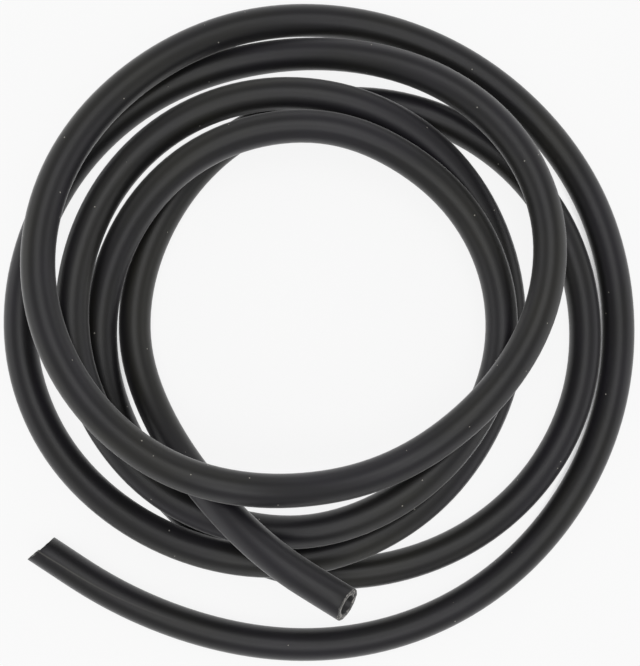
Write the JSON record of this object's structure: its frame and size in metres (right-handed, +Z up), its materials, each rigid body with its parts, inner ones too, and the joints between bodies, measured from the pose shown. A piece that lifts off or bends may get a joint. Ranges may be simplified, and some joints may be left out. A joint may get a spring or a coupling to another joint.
{
  "type": "vacuum tubing",
  "caption": "Black rubber hose with a thick wall and an open bore, lying in a loose round coil with both ends free.",
  "frame": {"origin": "middle of the coil's outline, on the table it lies on", "axes": "+Z up from the table, +X and +Y across the coil, with the end that lies on the table at its -X -Y side"},
  "size_m": [0.2018, 0.209, 0.0422],
  "materials": {
    "rubber": "satin"
  },
  "bodies": {
    "root": {"tubing": "rubber"}
  },
  "joints": []
}
